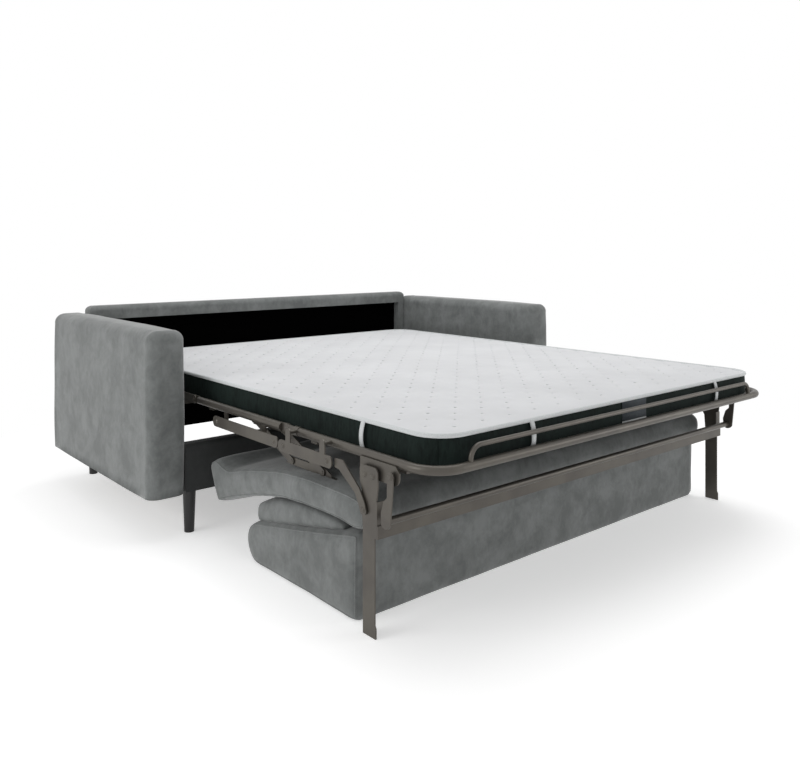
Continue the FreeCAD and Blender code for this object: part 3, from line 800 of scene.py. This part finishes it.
def circle_through(a, b, c):
    """Centre and radius of the circle through three points."""
    ax, ay, bx, by, cx, cy = *a, *b, *c
    d = 2 * (ax * (by - cy) + bx * (cy - ay) + cx * (ay - by))
    aa, bb, cc = ax * ax + ay * ay, bx * bx + by * by, cx * cx + cy * cy
    ux = (aa * (by - cy) + bb * (cy - ay) + cc * (ay - by)) / d
    uy = (aa * (cx - bx) + bb * (ax - cx) + cc * (bx - ax)) / d
    return (ux, uy), math.hypot(ax - ux, ay - uy)


def trace(points, step=10.0):
    """Samples a closed outline in millimetres. A point marked arc is the middle of an arc."""
    result = []
    start, middle = points[0], None
    for point in points[1:] + points[:1]:
        if len(point) == 3:
            middle = point[:2]
            continue
        if middle is None:
            count = max(1, round(math.dist(start, point) / step))
            dx, dy = point[0] - start[0], point[1] - start[1]
            result += [
                (start[0] + dx * i / count, start[1] + dy * i / count) for i in range(count)
            ]
        else:
            (ux, uy), radius = circle_through(start, middle, point)
            a0 = math.atan2(start[1] - uy, start[0] - ux)
            turn = (math.atan2(point[1] - uy, point[0] - ux) - a0) % (2 * math.pi)
            via = (math.atan2(middle[1] - uy, middle[0] - ux) - a0) % (2 * math.pi)
            if via > turn:
                turn -= 2 * math.pi
            count = max(2, round(abs(turn) * radius / step))
            angles = [a0 + turn * i / count for i in range(count)]
            result += [(ux + radius * math.cos(a), uy + radius * math.sin(a)) for a in angles]
            middle = None
        start = point
    return result


# The seat's heights are counted from this one. Its upper side comes first, from the front to the
# rear, and then its underside back again.
SEAT_LOW = 240
SEAT_OUTLINE = [
    (-910, SEAT_LOW + 42), (-902, SEAT_LOW + 72, "arc"), (-872, SEAT_LOW + 90),
    (-700, SEAT_LOW + 94, "arc"), (-500, SEAT_LOW + 84),
    (-340, SEAT_LOW + 54, "arc"), (-180, SEAT_LOW + 14),
    (-140, SEAT_LOW + 20, "arc"), (-104, SEAT_LOW + 32),
    (-68, SEAT_LOW + 28, "arc"), (-44, SEAT_LOW + 2),
    (-104, SEAT_LOW - 108),
    (-310, SEAT_LOW - 43, "arc"), (-520, SEAT_LOW + 1.5),
    (-700, SEAT_LOW + 9, "arc"), (-872, SEAT_LOW + 4),
    (-902, SEAT_LOW + 14, "arc"),
]
BACK_OUTLINE = [
    (-880, 4), (-880, 233), (-876, 237), (-590, 176, "arc"), (-336, 127.5),
    (-306, 105.5, "arc"), (-296, 71), (-316.8, 20.8, "arc"), (-367, 0), (-876, 0),
]

# A second, narrower pad is sewn onto the back and fills the arch under the seat.
SLAB_OUTLINE = [
    (-800, 214), (-590, 172, "arc"), (-334, 122), (-326, 150), (-334, 183),
    (-500, 229, "arc"), (-690, 240), (-790, 238), (-800, 228),
]

# %% Sweep, remesh and fill the cushions
CUSHION_HALF = 853 * MM
SLAB_HALF = 838 * MM
CUSHION_EDGE = 0.016
CUSHION_VOXEL = 0.013
EDGE_STEPS = 4
SWEEP_STEPS = 59
PRESSURE = 4.0
CLOTH_FRAMES = 20
MOVE_CAP = 0.007
SOFTEN_PASSES = 4
RIPPLE_HEIGHT = 0.0025
RIPPLE_SIZE = 0.16
SEAT_CROWN = 0.008
FLOOR_GAP = 0.0002


def swept(name, outline, half, crown, materials):
    """A solid with the outline across it, drawn in by a quarter round at both ends."""
    flat = np.array([at(0, y, z)[1:] for y, z in outline])
    ahead, behind = np.roll(flat, -1, axis=0), np.roll(flat, 1, axis=0)
    along = ahead - behind
    along /= np.linalg.norm(along, axis=1)[:, None]
    area = np.sum(flat[:, 0] * ahead[:, 1] - ahead[:, 0] * flat[:, 1])
    out = np.stack([along[:, 1], -along[:, 0]], axis=1) * np.sign(area)
    rows = []
    for i in range(EDGE_STEPS + 1):
        a = math.radians(90 * i / EDGE_STEPS)
        rows.append((-half + CUSHION_EDGE * (1 - math.cos(a)), CUSHION_EDGE * (1 - math.sin(a))))
    straight = np.linspace(CUSHION_EDGE - half, half - CUSHION_EDGE, SWEEP_STEPS + 1)
    rows += [(x, 0.0) for x in straight[1:-1]]
    rows += [(-x, inset) for x, inset in reversed(rows[:EDGE_STEPS + 1])]
    points, faces = [], []
    ring = len(flat)
    for x, inset in rows:
        rise = crown * math.cos(math.pi / 2 * x / half)
        for (y, z), (oy, oz) in zip(flat, out):
            points.append((x, y - oy * inset, z - oz * inset + rise * max(0.0, oz)))
    for i in range(len(rows) - 1):
        for j in range(ring):
            k = (j + 1) % ring
            faces.append([i * ring + j, i * ring + k, (i + 1) * ring + k, (i + 1) * ring + j])
    faces.append(list(range(ring)))
    faces.append([(len(rows) - 1) * ring + j for j in range(ring)][::-1])
    made = piece_from(name, points, faces, materials)
    face_outwards(made)
    return made


def settle(piece):
    """Replaces a piece's mesh with what its modifiers make, and removes them."""
    graph = bpy.context.evaluated_depsgraph_get()
    data = bpy.data.meshes.new_from_object(piece.evaluated_get(graph))
    piece.modifiers.clear()
    piece.data = data


def even_squares(piece, size):
    """Makes a piece's surface anew from squares of about one size."""
    remesh = piece.modifiers.new("Squares", "REMESH")
    remesh.mode, remesh.voxel_size, remesh.use_smooth_shade = "VOXEL", size, True
    settle(piece)


def inflate(piece):
    """Blows the cover up by cloth simulation, with a cap on how far a point may move."""
    before = positions(piece.data)
    cloth = piece.modifiers.new("Pad", "CLOTH").settings
    cloth.use_pressure = True
    cloth.uniform_pressure_force = PRESSURE
    cloth.effector_weights.gravity = 0
    for step in range(CLOTH_FRAMES):
        bpy.context.scene.frame_set(step + 1)
    graph = bpy.context.evaluated_depsgraph_get()
    data = bpy.data.meshes.new_from_object(piece.evaluated_get(graph))
    moved = positions(data) - before
    piece.modifiers.clear()
    bpy.context.scene.frame_set(1)
    far = np.linalg.norm(moved, axis=1)
    share = np.minimum(1.0, MOVE_CAP / np.maximum(far, 1e-9))
    set_positions(piece.data, before + moved * share[:, None])
    print(piece.name, "swelled by up to", round(float(far.max()), 4))


def soften(piece, passes):
    """Evens out small steps left by the squares."""
    smooth = piece.modifiers.new("Soften", "SMOOTH")
    smooth.factor, smooth.iterations = 0.5, passes
    settle(piece)


def ripple(piece, height, size, low_z):
    """Slow hollows and swells in the cover, and a flat underside where it lies on the floor."""
    data = piece.data
    data.update()
    points = positions(data)
    normals = np.zeros(len(data.vertices) * 3)
    data.vertices.foreach_get("normal", normals)
    normals = normals.reshape(-1, 3)
    waves = np.array([noise.noise(Vector(p) / size) for p in points])
    points = points + normals * (waves * height)[:, None]
    points[:, 2] = np.maximum(points[:, 2], low_z)
    set_positions(data, points)


def cushion(name, outline, half, crown, stands_for, body):
    """A filled velvet cushion, from its outline to its finished cover."""
    made = swept(name, outline, half, crown, [VELVET])
    even_squares(made, CUSHION_VOXEL)
    inflate(made)
    soften(made, SOFTEN_PASSES)
    ripple(made, RIPPLE_HEIGHT, RIPPLE_SIZE, FLOOR_GAP)
    fine = made.modifiers.new("Fine", "SUBSURF")
    fine.levels, fine.render_levels = 1, 1
    settle(made)
    made.data.polygons.foreach_set("use_smooth", [True] * len(made.data.polygons))
    if stands_for:
        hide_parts(stands_for)
    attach(made, body)
    print(name, len(made.data.polygons), "faces")
    return made


seat_outline = trace(SEAT_OUTLINE)
back_outline = trace(BACK_OUTLINE)
seat_pad = cushion("seat_pad", seat_outline, CUSHION_HALF, SEAT_CROWN, "seat_cushion", "seat")
back_pad = cushion("back_pad", back_outline, CUSHION_HALF, 0.0, "back_cushion", "back")
cushion("back_border", trace(SLAB_OUTLINE), SLAB_HALF, 0.0, None, "back")

# %% [markdown]
# ### Piping
#
# The covers are sewn with a piped seam: a cord about 5 mm thick wrapped in the same velvet. It is
# a round bar that follows the cover's nearest points to the seam's line, so half of it is sunk in.

# %% Piping along the seams
PIPING_RADIUS = 0.0024
PIPING_INSET = 0.003
PIPING_LOWEST = 0.0001
SMOOTH_PASSES = 2


def piping(name, path, cover, body):
    """A cord in the cover's velvet, with each point of its path moved onto the cover."""
    data = cover.data
    skin = BVHTree.FromPolygons(
        [tuple(v.co) for v in data.vertices], [tuple(p.vertices) for p in data.polygons],
    )
    path = [skin.find_nearest(Vector(p))[0] for p in path]
    count = len(path)
    for _ in range(SMOOTH_PASSES):
        path = [(path[i - 1] + path[i] * 2 + path[(i + 1) % count]) / 4 for i in range(count)]
    points, faces = strip_along(path, round_section(PIPING_RADIUS))
    made = piece_from(name, points, faces, [VELVET])
    face_outwards(made)
    for v in made.data.vertices:
        v.co.z = max(v.co.z, PIPING_LOWEST)
    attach(made, body)


def side_path(outline, x):
    """A cushion's side outline as a path of places at one end of it."""
    return [(x, *at(0, y, z)[1:]) for y, z in outline]


for turn, side in ((-1, "left"), (1, "right")):
    end = turn * (CUSHION_HALF - PIPING_INSET)
    piping("seat_piping_" + side, side_path(seat_outline, end), seat_pad, "seat")
    piping("back_piping_" + side, side_path(back_outline, end), back_pad, "back")

# %% [markdown]
# ## Room, light and camera
#
# The object stands on a plain pale floor under soft studio light. The camera is level and close,
# and looks from the foot of the bed past its left corner.

# %% Stage
FADE_START = 1.25
FADE_END = 2.3
FLOOR_GLOW = 0.42
AMBIENT = 0.45
FLOOR_HALF = 30


def studio_floor():
    """A pale floor. It takes shadows near the object and fades into the white behind it."""
    made, tree, place = blank("pale_floor")
    far = node(tree, "ShaderNodeVectorMath", {0: place}, operation="LENGTH").outputs["Value"]
    share = node(tree, "ShaderNodeMapRange", {
        "Value": far, "From Min": FADE_START, "From Max": FADE_END,
    })
    paper = node(tree, "ShaderNodeBsdfDiffuse", {0: linear("#f6f6f6")})
    glow = node(tree, "ShaderNodeEmission", {0: linear("#ffffff"), 1: FLOOR_GLOW})
    lit = node(tree, "ShaderNodeAddShader", {0: paper.outputs[0], 1: glow.outputs[0]})
    white = node(tree, "ShaderNodeEmission", {0: linear("#ffffff"), 1: 1.0})
    both = node(tree, "ShaderNodeMixShader", {
        0: share.outputs[0], 1: lit.outputs[0], 2: white.outputs[0],
    })
    node(tree, "ShaderNodeOutputMaterial", {"Surface": both.outputs[0]})
    return made


floor_corners = [
    (FLOOR_HALF * x, FLOOR_HALF * y, 0) for x, y in ((-1, -1), (1, -1), (1, 1), (-1, 1))
]
floor = piece_from("floor", floor_corners, [[0, 1, 2, 3]], [studio_floor()])

world = bpy.data.worlds.new("studio")
world.use_nodes = True
bpy.context.scene.world = world
sky = world.node_tree
sky.nodes.clear()
# The camera and reflections see a white room, and the softer ambient light does the lighting.
rays = node(sky, "ShaderNodeLightPath").outputs
seen = node(
    sky, "ShaderNodeMath", {0: rays["Is Camera Ray"], 1: rays["Is Glossy Ray"]},
    operation="ADD", use_clamp=True,
)
ambient = node(sky, "ShaderNodeBackground", {0: linear("#ffffff"), 1: AMBIENT})
backdrop = node(sky, "ShaderNodeBackground", {0: linear("#ffffff"), 1: 1.0})
both = node(sky, "ShaderNodeMixShader", {
    0: seen.outputs[0], 1: ambient.outputs[0], 2: backdrop.outputs[0],
})
node(sky, "ShaderNodeOutputWorld", {0: both.outputs[0]})


def area_light(name, place, target, size, watts):
    """A square lamp at a place, facing a target."""
    light = bpy.data.lights.new(name, "AREA")
    light.size, light.energy = size, watts
    made = bpy.data.objects.new(name, light)
    made.location = place
    made.rotation_euler = (Vector(target) - Vector(place)).to_track_quat("-Z", "Y").to_euler()
    bpy.context.scene.collection.objects.link(made)


area_light("ceiling_panel", (0.5, 0.3, 3.4), (0, 0, 0.3), 3.0, 58)
area_light("window_panel", (-4.0, 0.3, 1.9), (0, -0.1, 0.4), 2.2, 40)
area_light("far_side_panel", (2.6, -3.2, 1.0), (0.4, -0.6, 0.2), 1.4, 17)

# %% Camera
CAMERA_PLACE = Vector((-2.1135, -2.5422 + FRONT, 0.9876))
CAMERA_TURN = 0.8650
IMAGE_WIDTH, IMAGE_HEIGHT = 800, 758
FOCAL_PIXELS = 797.2
HORIZON_ROW = 247.7
SENSOR = 36.0

lens = bpy.data.cameras.new("camera")
lens.sensor_width = SENSOR
lens.lens = FOCAL_PIXELS / IMAGE_WIDTH * SENSOR
lens.shift_y = -(IMAGE_HEIGHT / 2 - HORIZON_ROW) / IMAGE_WIDTH
camera = bpy.data.objects.new("camera", lens)
camera.location = CAMERA_PLACE
camera.rotation_euler = (math.pi / 2, 0, CAMERA_TURN - math.pi / 2)
bpy.context.scene.collection.objects.link(camera)
bpy.context.scene.camera = camera
bpy.context.scene.view_settings.view_transform = "Standard"
